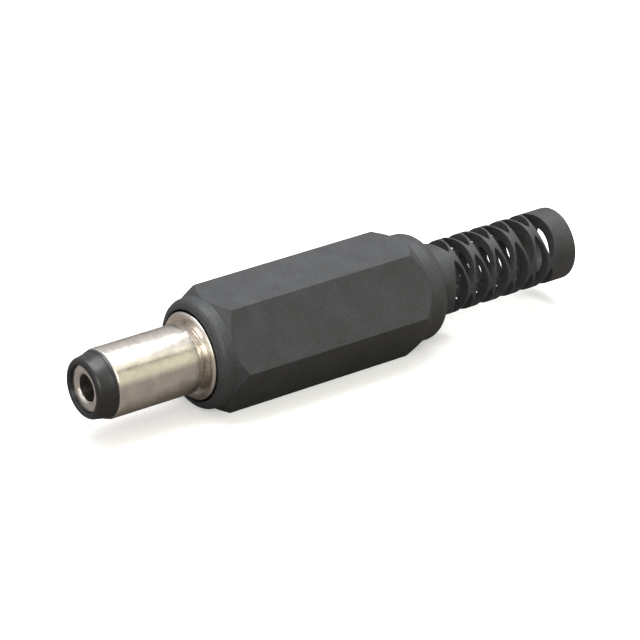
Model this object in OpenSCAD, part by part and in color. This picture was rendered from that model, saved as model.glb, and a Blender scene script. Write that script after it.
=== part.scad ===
// DC barrel plug, 5.5 x 2.1 mm, for mounting on a cable: a turned metal barrel
// with an insulated centre contact, two solder terminals, and a screw-on
// handle cover that ends in a slotted strain relief.
// Frame: the plug axis lies along X. The nose points to -X, the cable leaves
// to +X, +Z is up. X = 0 is the front face of the flange, the face that stops
// against the socket. The hex handle lies on one of its flats.

/* [Barrel] */
// outside diameter of the metal barrel
barrel_d = 5.5; // [5:0.05:5.9]
// length from the flange face to the tip of the nose
plug_len = 9.5; // [9:0.1:12]
// distance from the tip of the nose to the front edge of the barrel
barrel_setback = 1.57; // [1.4:0.01:1.9]
// width of the small turned chamfer at the barrel's front edge
barrel_chamfer = 0.12; // [0.05:0.01:0.16]
// inside diameter of the barrel
barrel_bore_d = 4.3; // [4.1:0.05:4.5]
// width of the turned neck between the barrel and the flange
neck_w = 0.59; // [0.4:0.01:0.9]
// diameter of the turned neck
neck_d = 4.86; // [4.8:0.02:5.1]
// width of the step ring between barrel and neck
neck_step_w = 0.2; // [0.1:0.01:0.25]
// diameter of the step ring between barrel and neck
neck_step_d = 5.16; // [5.12:0.02:5.3]

/* [Flange and shank] */
// diameter of the flange
flange_d = 6.92; // [6.7:0.02:7.1]
// thickness of the flange
flange_t = 1.5; // [1.2:0.05:1.8]
// bevel on the flange's front rim
flange_bevel = 0.16; // [0.05:0.01:0.3]
// diameter of the shallow groove in the flange face around the neck
groove_d = 5.64; // [5.6:0.02:6]
// depth of the groove in the flange face
groove_depth = 0.1; // [0.04:0.01:0.2]
// outside diameter of the threaded shank
shank_d = 6; // [5.9:0.05:6.2]
// rear end of the threaded shank, from the flange face
shank_end = 8.2; // [7.6:0.1:8.6]
// bore through the rear end of the shank
shank_bore_d = 3.2; // [3:0.05:3.3]
// diameter of the riveting collar behind the shank
rivet_d = 3.9; // [3.7:0.05:3.9]
// length of the riveting collar behind the shank
rivet_len = 0.85; // [0.7:0.01:1]

/* [Nose insulator] */
// diameter at the front edge of the nose
nose_front_d = 4.82; // [4.7:0.02:5]
// diameter of the nose where it meets its collar
nose_rear_d = 5.18; // [5.1:0.02:5.3]
// largest diameter of the thin tapered collar in front of the barrel
nose_collar_d = 5.36; // [5.32:0.02:5.44]
// width of the thin collar in front of the barrel
nose_collar_w = 0.22; // [0.15:0.01:0.3]
// rounding of the nose's front edge
nose_round = 0.42; // [0.2:0.01:0.45]
// diameter of the recess in the front of the nose
recess_d = 3.74; // [3.7:0.02:3.8]
// depth of the recess in the front of the nose
recess_depth = 0.26; // [0.2:0.02:0.6]
// rear end of the insulating tube, from the flange face
tube_end = 7.3; // [6.5:0.1:7.4]

/* [Centre contact] */
// diameter of the bore that takes the socket's pin
pin_bore_d = 2.1; // [2.05:0.05:2.15]
// depth of the bore that takes the pin, from the contact's front
pin_bore_len = 9.4; // [9:0.1:11]
// countersink at the mouth of the bore
pin_bore_sink = 0.18; // [0.05:0.01:0.22]
// outside diameter of the contact tube
contact_d = 2.86; // [2.8:0.02:2.94]
// diameter of the contact's front ring
contact_ring_d = 3.66; // [3.5:0.02:3.68]
// thickness of the contact's front ring
contact_ring_t = 0.4; // [0.2:0.02:0.5]
// diameter of the tail that is riveted over the tip terminal
tail_d = 1.6; // [1.4:0.05:1.7]
// diameter of the rivet head on the tail
tail_head_d = 2; // [1.9:0.02:2.1]
// height of the rivet head on the tail
tail_head_h = 0.35; // [0.2:0.05:0.5]

/* [Terminals] */
// sheet thickness of both terminals
sheet_t = 0.5; // [0.4:0.02:0.5]
// diameter of the sleeve terminal's ring
sleeve_ring_d = 5.8; // [5.7:0.02:5.84]
// width of the sleeve terminal's strip
strip_w = 2.6; // [2.2:0.1:2.6]
// depth of the strip's upper face below the plug axis
strip_drop = 2.2; // [2.17:0.01:2.2]
// rear end of the sleeve terminal, from the flange face
strip_end = 20.3; // [19:0.1:20.4]
// length of the cable clamp
clamp_len = 4.2; // [3:0.1:5]
// inside diameter of the cable clamp
clamp_bore_d = 4.3; // [4:0.02:4.32]
// height of the clamp's two wings above the plug axis
clamp_wing = 1.1; // [0.8:0.05:1.2]
// diameter of the sleeve terminal's solder hole
sleeve_hole_d = 1.4; // [1:0.1:1.6]
// place of the sleeve terminal's solder hole, from the flange face
sleeve_hole_x = 13.4; // [12:0.1:14]
// diameter of the tip terminal's ring
tip_ring_d = 3.3; // [3.28:0.02:3.4]
// width of the tip terminal's strip
tip_strip_w = 1.9; // [1.6:0.1:2]
// length of the tip terminal's strip behind the ring
tip_strip_len = 4.3; // [3.5:0.1:5]
// height of the tip strip's lower face above the plug axis
tip_strip_rise = 1.12; // [1.1:0.01:1.14]
// diameter of the tip terminal's solder hole
tip_hole_d = 0.9; // [0.7:0.05:1]

/* [Rear insulator] */
// diameter of the insulator's head between the two terminals
head_d = 3.6; // [3.5:0.05:3.7]
// thickness of the insulator's head between the two terminals
head_t = 0.7; // [0.6:0.05:0.9]

/* [Handle] */
// distance across opposite corners of the hex handle
hex_corner_d = 10.14; // [10.12:0.02:10.3]
// front end of the hex corners, from the flange face
hex_front = 2.25; // [2.1:0.05:2.4]
// rear end of the hex corners, from the flange face
hex_rear = 19.1; // [18:0.05:19.3]
// front face of the handle, from the flange face
handle_front = 0.24; // [0:0.01:0.3]
// diameter of the round collar at the front of the handle
front_collar_d = 8.74; // [8.7:0.02:8.76]
// rounding of the front collar's edge
front_round = 0.76; // [0.5:0.02:0.76]
// angle of the cone between the front collar and the hex corners
front_cone_deg = 42; // [38:1:48]
// diameter of the round collar behind the hex
rear_collar_d = 8.68; // [8.6:0.02:8.72]
// angle of the cone between the hex corners and the rear collar
rear_cone_deg = 33; // [28:1:36]
// rear face of the rear collar, from the flange face
rear_face = 22.1; // [21.9:0.05:22.6]
// rounding of the rear collar's edge
rear_round = 1; // [0.5:0.05:1.1]
// diameter of the counterbore that takes the flange
mouth_d = 7.3; // [7.2:0.02:7.5]
// diameter of the cavity around the terminals
cavity_d = 7; // [6.6:0.1:7.2]
// front end of the cavity, from the flange face
cavity_front = 8.6; // [8.2:0.1:9]
// rear end of the cavity, from the flange face
cavity_end = 20.6; // [20.5:0.1:20.8]
// rear end of the cone that leads from the cavity into the relief
funnel_end = 22.4; // [22:0.1:23]

/* [Strain relief] */
// outside diameter of the strain relief
relief_d = 5.9; // [5.6:0.02:6.2]
// inside diameter of the slotted part
relief_bore_d = 4.3; // [4.1:0.05:4.4]
// diameter of the cable hole in the end ring
cable_hole_d = 3.9; // [3.6:0.05:4.1]
// length of the end ring that the cable hole goes through
end_ring_len = 2; // [1.6:0.05:2.1]
// rear end of the strain relief, from the flange face
relief_end = 35.85; // [35.5:0.05:38]
// rounding of the strain relief's rear edge
relief_round = 0.16; // [0.1:0.02:0.4]
// number of rows of slots, each row turned half a step against the last
slot_rows = 10; // [6:2:10]
// distance from one row of slots to the next
row_pitch = 1.02; // [0.98:0.01:1.05]
// middle of the first row, from the flange face
first_row = 24.15; // [24:0.01:24.4]
// width of a slot at its middle
slot_w = 1.22; // [0.8:0.02:1.26]
// length of a slot from tip to tip
slot_len = 4.66; // [3.8:0.02:4.7]
// direction of the first slot in the first row, about the plug axis
slot_dir_deg = 60; // [0:5:115]

/* [Fits] */
// radial clearance between the shank's thread and the cover's thread
thread_fit = 0.06; // [0.04:0.01:0.09]
// radial clearance between pieces that are pressed or riveted together
press_fit = 0.02; // [0.01:0.01:0.03]
// axial clearance between the flange and its seat in the cover
seat_gap = 0.05; // [0.02:0.01:0.1]

/* [Hidden] */
$fn = 72;

tip_x = -plug_len;
barrel_front = tip_x + barrel_setback;
contact_front = tip_x + recess_depth;
bore_end = contact_front + pin_bore_len;
rivet_end = shank_end + rivet_len;
tip_ring_x = rivet_end + head_t;
tail_end = tip_ring_x + sheet_t;
seat_x = flange_t + seat_gap;
hex_r = hex_corner_d / 2;
clamp_r = clamp_bore_d / 2;

// points of a quarter arc from angle a0 to a1 about [cx, cr]
function arc(cx, cr, rad, a0, a1, n) =
  [for (i = [0 : n]) let (a = a0 + (a1 - a0) * i / n)
    [cx + rad * cos(a), cr + rad * sin(a)]];

// a point on the edge of a slot: u from tip (-1) to tip (1), on side s
function slot_edge(u, s) =
  [s * slot_w / 2 * pow(max(0, 1 - u * u), 0.65), u * slot_len / 2];

// turns a list of [x, r] points about the X axis
module turned(points) {
  rotate([0, 90, 0]) rotate_extrude()
    polygon([for (p = points) [p[1], p[0]]]);
}

// a straight round bar along X from x0 to x1
module bar(x0, x1, d) {
  translate([x0, 0, 0]) rotate([0, 90, 0]) cylinder(h = x1 - x0, d = d);
}

// nickel plated barrel, neck, flange and threaded shank, turned in one piece
module sleeve() {
  color([0.82, 0.79, 0.74]) difference() {
    turned([
      [barrel_front, 0],
      [barrel_front, barrel_d / 2 - barrel_chamfer],
      [barrel_front + barrel_chamfer, barrel_d / 2],
      [-neck_w, barrel_d / 2],
      [-neck_w, neck_step_d / 2],
      [-neck_w + neck_step_w, neck_step_d / 2],
      [-neck_w + neck_step_w, neck_d / 2],
      [groove_depth, neck_d / 2],
      [groove_depth, max(groove_d, barrel_d + 0.1) / 2],
      [0, max(groove_d, barrel_d + 0.1) / 2],
      [0, flange_d / 2 - flange_bevel],
      [flange_bevel, flange_d / 2],
      [flange_t, flange_d / 2],
      [flange_t, shank_d / 2],
      [shank_end, shank_d / 2],
      [shank_end, rivet_d / 2],
      [rivet_end, rivet_d / 2],
      [rivet_end, 0]
    ]);
    bar(barrel_front - 1, tube_end, barrel_bore_d);
    bar(tube_end - 0.5, rivet_end + 1, shank_bore_d);
  }
}

// black plastic nose and the tube behind it that insulates the contact
module nose_insulator() {
  tube_r = barrel_bore_d / 2 - press_fit;
  color([0.1, 0.1, 0.11]) difference() {
    turned(concat(
      [[tip_x, 0]],
      arc(tip_x + nose_round, nose_front_d / 2 - nose_round, nose_round, 180, 92, 5),
      [
        [barrel_front - nose_collar_w, nose_rear_d / 2],
        [barrel_front - nose_collar_w, nose_collar_d / 2 - 0.04],
        [barrel_front, nose_collar_d / 2],
        [barrel_front, tube_r],
        [tube_end, tube_r],
        [tube_end, 0]
      ]));
    bar(tip_x - 1, contact_front + contact_ring_t, recess_d);
    bar(contact_front, tube_end + 1, contact_d + 2 * press_fit);
  }
}

// plated contact tube for the socket's pin, with its riveted tail
module centre_contact() {
  color([0.8, 0.79, 0.76]) difference() {
    turned([
      [contact_front, 0],
      [contact_front, contact_ring_d / 2],
      [contact_front + contact_ring_t, contact_ring_d / 2],
      [contact_front + contact_ring_t, contact_d / 2],
      [tube_end - 0.4, contact_d / 2],
      [tube_end - 0.4, tail_d / 2],
      [tail_end, tail_d / 2],
      [tail_end, tail_head_d / 2],
      [tail_end + tail_head_h, tail_head_d / 2 - 0.2],
      [tail_end + tail_head_h, 0]
    ]);
    bar(contact_front - 1, bore_end, pin_bore_d);
    translate([contact_front - 0.01, 0, 0]) rotate([0, 90, 0])
      cylinder(h = pin_bore_sink + 0.01,
               d1 = pin_bore_d + 2 * pin_bore_sink + 0.02, d2 = pin_bore_d);
  }
}

// long lug for the outer conductor: ring, strip, solder hole and cable clamp
module sleeve_terminal() {
  color([0.78, 0.76, 0.7]) difference() {
    union() {
      bar(shank_end, shank_end + sheet_t, sleeve_ring_d);
      translate([shank_end, -strip_w / 2, -strip_drop - sheet_t])
        cube([strip_end - shank_end - 0.3, strip_w, sheet_t]);
      // open clamp: the lower half of a tube and two straight wings
      difference() {
        bar(strip_end - clamp_len, strip_end, clamp_bore_d + 2 * sheet_t);
        translate([strip_end - clamp_len - 1, -4, 0]) cube([clamp_len + 2, 8, 4]);
      }
      for (s = [-1, 1])
        translate([strip_end - clamp_len, s < 0 ? -clamp_r - sheet_t : clamp_r, -0.2])
          cube([clamp_len, sheet_t, clamp_wing + 0.2]);
    }
    bar(shank_end - 1, shank_end + sheet_t + 1, rivet_d + 2 * press_fit);
    bar(strip_end - clamp_len - 1, strip_end + 1, clamp_bore_d);
    translate([sleeve_hole_x, 0, -strip_drop - sheet_t - 1])
      cylinder(h = sheet_t + 2, d = sleeve_hole_d);
    // the wings lean on nothing between them
    translate([strip_end - clamp_len - 1, -clamp_r, -0.3])
      cube([clamp_len + 2, 2 * clamp_r, 3]);
  }
}

// insulator that keeps the tip terminal off the sleeve
module rear_insulator() {
  color([0.12, 0.12, 0.12]) difference() {
    turned([
      [tube_end, 0],
      [tube_end, shank_bore_d / 2 - press_fit],
      [rivet_end, shank_bore_d / 2 - press_fit],
      [rivet_end, head_d / 2],
      [tip_ring_x, head_d / 2],
      [tip_ring_x, 0]
    ]);
    bar(tube_end - 1, tip_ring_x + 1, tail_d + 2 * press_fit);
  }
}

// short lug for the centre conductor
module tip_terminal() {
  color([0.78, 0.76, 0.7]) difference() {
    union() {
      bar(tip_ring_x, tail_end, tip_ring_d);
      translate([tip_ring_x, -tip_strip_w / 2, tip_strip_rise])
        cube([sheet_t + tip_strip_len, tip_strip_w, sheet_t]);
    }
    bar(tip_ring_x - 1, tail_end + 1, tail_d + 2 * press_fit);
    translate([tail_end + tip_strip_len - 1.2, 0, tip_strip_rise - 1])
      cylinder(h = sheet_t + 2, d = tip_hole_d);
  }
}

// one pointed slot through the wall at +Z, about x = 0
module slot() {
  linear_extrude(height = relief_d)
    polygon(concat(
      [for (a = [-90 : 22.5 : 80]) slot_edge(sin(a), 1)],
      [for (a = [90 : -22.5 : -80]) slot_edge(sin(a), -1)]));
}

// hex handle with its round collars and the slotted strain relief, moulded
// in one piece
module handle_cover() {
  front_rise = (hex_r - front_collar_d / 2) / tan(front_cone_deg);
  rear_fall = (hex_r - rear_collar_d / 2) / tan(rear_cone_deg);
  color([0.16, 0.16, 0.17]) difference() {
    union() {
      // hex body, turned off at both ends
      intersection() {
        translate([handle_front + front_round, 0, 0]) rotate([0, 90, 0]) rotate([0, 0, 30])
          cylinder(h = hex_rear + 3 - handle_front - front_round, r = hex_r, $fn = 6);
        turned([
          [hex_front - front_rise, 0],
          [hex_front - front_rise, front_collar_d / 2],
          [hex_front, hex_r + 0.001],
          [hex_rear, hex_r + 0.001],
          [hex_rear + rear_fall, rear_collar_d / 2],
          [hex_rear + rear_fall, 0]
        ]);
      }
      // front collar
      turned(concat(
        [[handle_front, 0]],
        arc(handle_front + front_round, front_collar_d / 2 - front_round, front_round, 180, 90, 5),
        [[hex_front - front_rise, front_collar_d / 2], [hex_front - front_rise, 0]]));
      // rear collar and its rounded shoulder
      turned(concat(
        [[hex_rear + rear_fall - 0.5, 0], [hex_rear + rear_fall - 0.5, rear_collar_d / 2 - 0.3],
         [hex_rear + rear_fall, rear_collar_d / 2]],
        arc(rear_face - rear_round, rear_collar_d / 2 - rear_round, rear_round, 90, 0, 6),
        [[rear_face, 0]]));
      // strain relief
      turned(concat(
        [[rear_face - 0.5, 0], [rear_face - 0.5, relief_d / 2]],
        arc(relief_end - relief_round, relief_d / 2 - relief_round, relief_round, 90, 0, 4),
        [[relief_end, 0]]));
    }
    // mouth, thread, cavity, funnel and cable hole
    bar(handle_front - 1, seat_x, mouth_d);
    bar(0, cavity_front, shank_d + 2 * thread_fit);
    bar(cavity_front, cavity_end, cavity_d);
    translate([cavity_end, 0, 0]) rotate([0, 90, 0])
      cylinder(h = funnel_end - cavity_end, d1 = cavity_d, d2 = relief_bore_d);
    bar(funnel_end - 0.01, relief_end - end_ring_len, relief_bore_d);
    bar(relief_end - end_ring_len - 0.5, relief_end + 1, cable_hole_d);
    // slots, three to a row, each row turned by 60 degrees against the last
    for (i = [0 : slot_rows - 1], j = [0 : 2])
      translate([first_row + i * row_pitch, 0, 0])
        rotate([slot_dir_deg - 90 + 60 * (i % 2) + 120 * j, 0, 0]) slot();
  }
}

sleeve();
nose_insulator();
centre_contact();
sleeve_terminal();
rear_insulator();
tip_terminal();
handle_cover();
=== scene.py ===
import math

import bmesh
import bpy
import numpy as np
from mathutils import Matrix, Vector


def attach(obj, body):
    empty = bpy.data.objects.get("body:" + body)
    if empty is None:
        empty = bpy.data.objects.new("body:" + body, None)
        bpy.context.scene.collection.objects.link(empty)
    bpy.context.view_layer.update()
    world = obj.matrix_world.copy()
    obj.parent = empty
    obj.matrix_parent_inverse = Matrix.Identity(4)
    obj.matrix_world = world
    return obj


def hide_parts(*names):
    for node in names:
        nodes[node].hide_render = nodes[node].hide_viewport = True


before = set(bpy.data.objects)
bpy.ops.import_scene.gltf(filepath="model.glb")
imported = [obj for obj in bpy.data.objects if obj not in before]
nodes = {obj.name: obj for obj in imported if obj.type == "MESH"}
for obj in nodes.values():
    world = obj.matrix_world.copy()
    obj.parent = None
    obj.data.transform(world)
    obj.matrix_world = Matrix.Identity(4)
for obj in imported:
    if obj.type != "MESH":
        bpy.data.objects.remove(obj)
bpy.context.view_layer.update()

MM = 0.001  # the outlines below are in millimetres
SEGMENTS = 128  # facets round a turned piece


# ---------------------------------------------------------------- node helpers
class Shader:
    """A node material built up call by call, in object coordinates in metres."""

    def __init__(self, name):
        self.material = bpy.data.materials.new(name)
        self.material.use_nodes = True
        self.tree = self.material.node_tree
        self.bsdf = self.tree.nodes["Principled BSDF"]
        self.coord = self.tree.nodes.new("ShaderNodeTexCoord").outputs["Object"]
        self.height = None

    def node(self, kind, **settings):
        n = self.tree.nodes.new(kind)
        for key, value in settings.items():
            setattr(n, key, value)
        return n

    def link(self, a, b):
        self.tree.links.new(a, b)

    def noise(self, scale, detail=3.0, rough=0.5, stretch=(1, 1, 1)):
        m = self.node("ShaderNodeMapping")
        m.inputs["Scale"].default_value = stretch
        self.link(self.coord, m.inputs["Vector"])
        n = self.node("ShaderNodeTexNoise")
        n.inputs["Scale"].default_value = scale
        n.inputs["Detail"].default_value = detail
        n.inputs["Roughness"].default_value = rough
        self.link(m.outputs["Vector"], n.inputs["Vector"])
        return n.outputs["Fac"]

    def span(self, value, lo, hi, frm=(0.3, 0.7)):
        r = self.node("ShaderNodeMapRange")
        r.inputs["From Min"].default_value = frm[0]
        r.inputs["From Max"].default_value = frm[1]
        r.inputs["To Min"].default_value = lo
        r.inputs["To Max"].default_value = hi
        self.link(value, r.inputs["Value"])
        return r.outputs["Result"]

    def colours(self, value, stops):
        r = self.node("ShaderNodeValToRGB")
        ramp = r.color_ramp
        while len(ramp.elements) < len(stops):
            ramp.elements.new(0.5)
        for e, (place, colour) in zip(ramp.elements, stops):
            e.position = place
            e.color = (*colour, 1)
        self.link(value, r.inputs["Fac"])
        return r.outputs["Color"]

    def base(self, socket):
        self.link(socket, self.bsdf.inputs["Base Color"])

    def roughness(self, socket):
        self.link(socket, self.bsdf.inputs["Roughness"])

    def bump(self, value, strength, distance):
        b = self.node("ShaderNodeBump")
        b.inputs["Strength"].default_value = strength
        b.inputs["Distance"].default_value = distance
        self.link(value, b.inputs["Height"])
        if self.height is not None:
            self.link(self.height, b.inputs["Normal"])
        self.height = b.outputs["Normal"]
        self.link(self.height, self.bsdf.inputs["Normal"])


def moulded(name, dark, light, rough, grain, grain_scale):
    """Moulded plastic: cloudy colour, fine matt grain and shallow flow marks."""
    s = Shader(name)
    cloud = s.noise(420, 4, 0.6)
    speck = s.noise(grain_scale * 0.8, 2, 0.5)
    mix = s.node("ShaderNodeMath", operation="MULTIPLY_ADD")
    s.link(speck, mix.inputs[0])
    mix.inputs[1].default_value = 0.45
    half = s.node("ShaderNodeMath", operation="MULTIPLY")
    s.link(cloud, half.inputs[0])
    half.inputs[1].default_value = 0.55
    s.link(half.outputs[0], mix.inputs[2])
    s.base(s.colours(mix.outputs[0], [(0.3, dark), (0.7, light)]))
    s.roughness(s.span(s.noise(1500, 3), rough[0], rough[1]))
    s.bump(s.noise(260, 2, 0.4), 0.12, 0.00004)
    s.bump(s.noise(grain_scale, 3, 0.6), grain, 0.00002)
    return s


def metal(name, dark, light, rough, rings=0.0, marks=0.1):
    """Plated metal: faint clouds in the plating, fine marks, turned rings."""
    s = Shader(name)
    s.bsdf.inputs["Metallic"].default_value = 1.0
    s.base(s.colours(s.noise(900, 5, 0.65), [(0.3, dark), (0.68, light)]))
    s.roughness(s.span(s.noise(2200, 4, 0.6), rough[0], rough[1]))
    s.bump(s.noise(3800, 3, 0.6), marks, 0.00001)
    if rings:
        s.bump(s.noise(1100, 3, 0.7, stretch=(9, 0.25, 0.25)), rings, 0.000012)
    return s


handle = moulded(
    "handle_plastic", dark=(0.024, 0.026, 0.028), light=(0.052, 0.057, 0.063),
    rough=(0.42, 0.58), grain=0.55, grain_scale=7000,
)
nose = moulded(
    "nose_plastic", dark=(0.012, 0.012, 0.013), light=(0.024, 0.025, 0.028),
    rough=(0.26, 0.4), grain=0.14, grain_scale=5000,
)
insulator = moulded(
    "insulator_plastic", dark=(0.016, 0.016, 0.016), light=(0.034, 0.034, 0.035),
    rough=(0.5, 0.62), grain=0.3, grain_scale=6000,
)
plated = metal(
    "plated_brass", dark=(0.66, 0.62, 0.57), light=(0.86, 0.82, 0.76),
    rough=(0.16, 0.3), rings=0.5, marks=0.2,
)
contact = metal(
    "contact_metal", dark=(0.6, 0.58, 0.55), light=(0.84, 0.82, 0.79),
    rough=(0.14, 0.26), rings=0.3, marks=0.15,
)
sheet = metal(
    "terminal_metal", dark=(0.6, 0.57, 0.52), light=(0.8, 0.77, 0.7),
    rough=(0.3, 0.46), marks=0.4,
)


def dress(obj, shader):
    if obj.data.materials:
        for i in range(len(obj.data.materials)):
            obj.data.materials[i] = shader.material
    else:
        obj.data.materials.append(shader.material)


for name, shader in {
    "sleeve": plated,
    "nose_insulator": nose,
    "centre_contact": contact,
    "sleeve_terminal": sheet,
    "rear_insulator": insulator,
    "tip_terminal": sheet,
    "handle_cover": handle,
}.items():
    dress(nodes[name], shader)


# ---------------------------------------------------------------- turned pieces
def softened(points, radius):
    """Closed outline of (x, r) in mm with each corner rounded a little."""
    out = []
    n = len(points)
    for i, p in enumerate(points):
        a, b = Vector(points[i - 1]), Vector(points[(i + 1) % n])
        p = Vector(p)
        la, lb = (a - p).length, (b - p).length
        cut = min(radius, 0.35 * la, 0.35 * lb)
        da, db = (a - p).normalized(), (b - p).normalized()
        if cut < 0.003 or da.dot(db) < -0.97 or p.y < 1e-6:
            out.append((p.x, p.y))
            continue
        start, end = p + da * cut, p + db * cut
        for k in range(4):
            t = k / 3
            q = start * (1 - t) ** 2 + p * 2 * t * (1 - t) + end * t ** 2
            out.append((q.x, q.y))
    return out


def turned(name, outline, body, replaced, shader, radius_at=None):
    """A closed outline turned about the X axis; radius_at bends rings into a thread."""
    bm = bmesh.new()
    rings = []
    for x, r in outline:
        ring = []
        for k in range(SEGMENTS):
            t = 2 * math.pi * k / SEGMENTS
            rr = radius_at(x, r, t) if radius_at else r
            y, z = rr * MM * math.cos(t), rr * MM * math.sin(t)
            ring.append(bm.verts.new((x * MM, y, z)))
        rings.append(ring)
    for i, ring in enumerate(rings):
        following = rings[(i + 1) % len(rings)]
        for k in range(SEGMENTS):
            m = (k + 1) % SEGMENTS
            bm.faces.new((ring[k], ring[m], following[m], following[k]))
    bmesh.ops.remove_doubles(bm, verts=bm.verts, dist=1e-7)
    bmesh.ops.dissolve_degenerate(bm, edges=bm.edges, dist=1e-8)
    bmesh.ops.recalc_face_normals(bm, faces=bm.faces)
    mesh = bpy.data.meshes.new(name)
    bm.to_mesh(mesh)
    bm.free()
    mesh.shade_smooth()
    mesh.set_sharp_from_angle(angle=math.radians(38))
    obj = bpy.data.objects.new(name, mesh)
    bpy.context.scene.collection.objects.link(obj)
    dress(obj, shader)
    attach(obj, body)
    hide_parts(replaced)
    return obj


THREAD_PITCH = 0.5
THREAD_DEPTH = 0.26
THREAD_FROM, THREAD_TO = 1.75, 8.0
SHANK_R = 3.0


def thread_radius(x, r, t):
    """Cuts the shank's thread: a rounded V groove that runs out at both ends."""
    if abs(r - SHANK_R) > 1e-6 or not THREAD_FROM < x < THREAD_TO:
        return r
    turn = (x / THREAD_PITCH - t / (2 * math.pi)) % 1.0
    depth = THREAD_DEPTH * (1 - abs(2 * turn - 1)) ** 0.9
    fade = min(1.0, (x - THREAD_FROM) / 0.4, (THREAD_TO - x) / 0.4)
    return r - depth * max(0.0, fade)


shank_rows = [(float(x), SHANK_R) for x in np.arange(1.75, 8.01, 0.0625)]
front_part = softened([
    (-7.93, 2.15), (-7.93, 2.63), (-7.81, 2.75), (-0.59, 2.75), (-0.59, 2.58),
    (-0.39, 2.58), (-0.39, 2.43), (0.1, 2.43), (0.1, 2.82), (0, 2.82), (0, 3.3), (0.16, 3.46), (1.5, 3.46),
    (1.5, 3.0), (8.2, 3.0), (8.2, 1.95), (9.05, 1.95), (9.05, 1.6), (7.3, 1.6), (7.3, 2.15),
], 0.05)
sleeve_outline = []
for i, p in enumerate(front_part):
    sleeve_outline.append(p)
    q = front_part[(i + 1) % len(front_part)]
    if abs(p[1] - SHANK_R) < 1e-6 and abs(q[1] - SHANK_R) < 1e-6 and q[0] - p[0] > 3:
        sleeve_outline += shank_rows
turned("sleeve_turned", sleeve_outline, "plug", "sleeve", plated, thread_radius)

TIP_X = -9.5
NOSE_R = 2.41
NOSE_ROUND = 0.42
nose_arc = [
    (
        TIP_X + NOSE_ROUND + NOSE_ROUND * math.cos(math.radians(a)),
        NOSE_R - NOSE_ROUND + NOSE_ROUND * math.sin(math.radians(a)),
    )
    for a in np.linspace(180, 92, 9)
]
nose_outline = nose_arc + softened([
    (-8.15, 2.59), (-8.15, 2.64), (-7.93, 2.68), (-7.93, 2.13), (7.3, 2.13), (7.3, 1.45),
    (-8.84, 1.45), (-8.84, 1.87), (-9.5, 1.87),
], 0.04)
turned("nose_moulded", nose_outline, "plug", "nose_insulator", nose)

contact_outline = softened([
    (-9.24, 1.23), (-9.24, 1.83), (-8.84, 1.83), (-8.84, 1.43), (6.9, 1.43), (6.9, 0.8),
    (10.25, 0.8), (10.25, 1.0), (10.6, 0.8), (10.6, 0.0), (0.16, 0.0), (0.16, 1.05), (-9.06, 1.05),
], 0.05)
turned("contact_turned", contact_outline, "plug", "centre_contact", contact)

# ---------------------------------------------------------------- camera
AZIMUTH = math.radians(-37.332)
ELEVATION = math.radians(27.208)
ROLL = math.radians(1.802)
DISTANCE = 0.281579
back = Vector((
    math.sin(AZIMUTH) * math.cos(ELEVATION),
    -math.cos(AZIMUTH) * math.cos(ELEVATION),
    math.sin(ELEVATION),
))
right = Vector((math.cos(AZIMUTH), math.sin(AZIMUTH), 0))
up = right.cross(-back)
target = Vector((0.0105, 0, 0)) + right * 0.00156 + up * 0.000165
place = target + back * DISTANCE
right2 = right * math.cos(ROLL) + up * math.sin(ROLL)
up2 = -right * math.sin(ROLL) + up * math.cos(ROLL)
lens = bpy.data.cameras.new("camera")
lens.sensor_width = 36
lens.lens = 205.573
lens.clip_start = 0.01
lens.clip_end = 10
camera = bpy.data.objects.new("camera", lens)
bpy.context.scene.collection.objects.link(camera)
camera.matrix_world = Matrix((
    (right2.x, up2.x, back.x, place.x),
    (right2.y, up2.y, back.y, place.y),
    (right2.z, up2.z, back.z, place.z),
    (0, 0, 0, 1),
))
bpy.context.scene.camera = camera

# ---------------------------------------------------------------- floor
FLOOR_Z = -0.0044
FLOOR_HALF = 0.9
floor_mesh = bpy.data.meshes.new("floor")
floor_corners = [
    (x * FLOOR_HALF, y * FLOOR_HALF, FLOOR_Z)
    for x, y in ((-1, -1), (1, -1), (1, 1), (-1, 1))
]
floor_mesh.from_pydata(floor_corners, [], [(0, 1, 2, 3)])
floor = bpy.data.objects.new("floor", floor_mesh)
bpy.context.scene.collection.objects.link(floor)
fm = bpy.data.materials.new("floor")
fm.use_nodes = True
t = fm.node_tree
t.nodes.clear()
out = t.nodes.new("ShaderNodeOutputMaterial")
path = t.nodes.new("ShaderNodeLightPath")
seen = t.nodes.new("ShaderNodeBsdfDiffuse")
seen.inputs["Color"].default_value = (0.9, 0.9, 0.9, 1)
glow = t.nodes.new("ShaderNodeEmission")
glow.inputs["Strength"].default_value = 0.35
both = t.nodes.new("ShaderNodeAddShader")
unseen = t.nodes.new("ShaderNodeBsdfDiffuse")
unseen.inputs["Color"].default_value = (0.2, 0.18, 0.17, 1)
mix = t.nodes.new("ShaderNodeMixShader")
t.links.new(seen.outputs[0], both.inputs[0])
t.links.new(glow.outputs[0], both.inputs[1])
t.links.new(path.outputs["Is Camera Ray"], mix.inputs["Fac"])
t.links.new(unseen.outputs[0], mix.inputs[1])
t.links.new(both.outputs[0], mix.inputs[2])
t.links.new(mix.outputs[0], out.inputs["Surface"])
floor_mesh.materials.append(fm)

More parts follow.
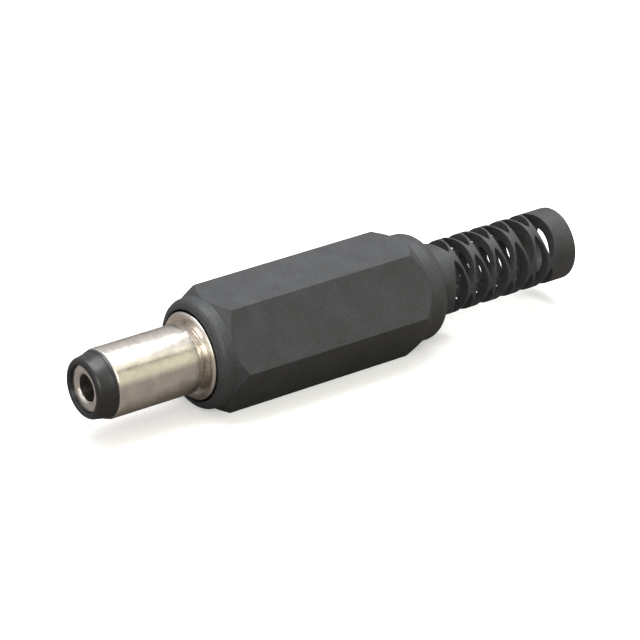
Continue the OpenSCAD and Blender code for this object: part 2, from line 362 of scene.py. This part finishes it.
# ---------------------------------------------------------------- light
# long soft boxes beside the object: brightness by direction about the X axis
world = bpy.data.worlds.new("studio")
world.use_nodes = True
bpy.context.scene.world = world
t = world.node_tree
t.nodes.clear()
coord = t.nodes.new("ShaderNodeTexCoord")
xyz = t.nodes.new("ShaderNodeSeparateXYZ")
t.links.new(coord.outputs["Generated"], xyz.inputs[0])
minus = t.nodes.new("ShaderNodeMath")
minus.operation = "MULTIPLY"
minus.inputs[1].default_value = -1
t.links.new(xyz.outputs["Y"], minus.inputs[0])
angle = t.nodes.new("ShaderNodeMath")
angle.operation = "ARCTAN2"
t.links.new(minus.outputs[0], angle.inputs[0])
t.links.new(xyz.outputs["Z"], angle.inputs[1])
turn = t.nodes.new("ShaderNodeMapRange")
turn.inputs["From Min"].default_value = -math.pi
turn.inputs["From Max"].default_value = math.pi
t.links.new(angle.outputs[0], turn.inputs["Value"])
ramp = t.nodes.new("ShaderNodeValToRGB")
stops = [
    (-100, (0.25, 0.25, 0.26)),
    (-62, (0.62, 0.6, 0.6)),
    (-10, (0.95, 0.92, 0.92)),
    (16, (0.95, 0.92, 0.9)),
    (22, (1.2, 1.16, 1.0)),
    (34, (1.15, 1.1, 0.93)),
    (37, (0.16, 0.15, 0.13)),
    (40, (0.16, 0.15, 0.13)),
    (44, (0.8, 0.77, 0.6)),
    (70, (0.86, 0.83, 0.66)),
    (88, (0.42, 0.38, 0.33)),
    (100, (0.16, 0.15, 0.15)),
]
elements = ramp.color_ramp.elements
while len(elements) < len(stops):
    elements.new(0.5)
for e, (deg, colour) in zip(elements, stops):
    e.position = (deg + 180) / 360
    e.color = (*colour, 1)
t.links.new(turn.outputs[0], ramp.inputs["Fac"])
path = t.nodes.new("ShaderNodeLightPath")
soft = t.nodes.new("ShaderNodeBackground")
soft.inputs["Strength"].default_value = 1.0
t.links.new(ramp.outputs["Color"], soft.inputs["Color"])
white = t.nodes.new("ShaderNodeBackground")
white.inputs["Color"].default_value = (1, 1, 1, 1)
white.inputs["Strength"].default_value = 1.0
mix = t.nodes.new("ShaderNodeMixShader")
t.links.new(path.outputs["Is Camera Ray"], mix.inputs["Fac"])
t.links.new(soft.outputs[0], mix.inputs[1])
t.links.new(white.outputs[0], mix.inputs[2])
out = t.nodes.new("ShaderNodeOutputWorld")
t.links.new(mix.outputs[0], out.inputs["Surface"])


LIGHT_TARGET = Vector((0.012, 0, 0))


def soft_box(name, place, size, power):
    lamp = bpy.data.lights.new(name, "AREA")
    lamp.shape = "RECTANGLE"
    lamp.size, lamp.size_y = size
    lamp.energy = power
    o = bpy.data.objects.new(name, lamp)
    bpy.context.scene.collection.objects.link(o)
    o.location = place
    aim = LIGHT_TARGET - Vector(place)
    o.rotation_euler = aim.to_track_quat("-Z", "Y").to_euler()


soft_box("overhead", (0.05, 0.1, 0.5), (0.5, 0.4), 3.0)
soft_box("front_left", (-0.3, -0.35, 0.3), (0.25, 0.25), 0.9)

view = bpy.context.scene.view_settings
view.view_transform = "Standard"
view.look = "None"
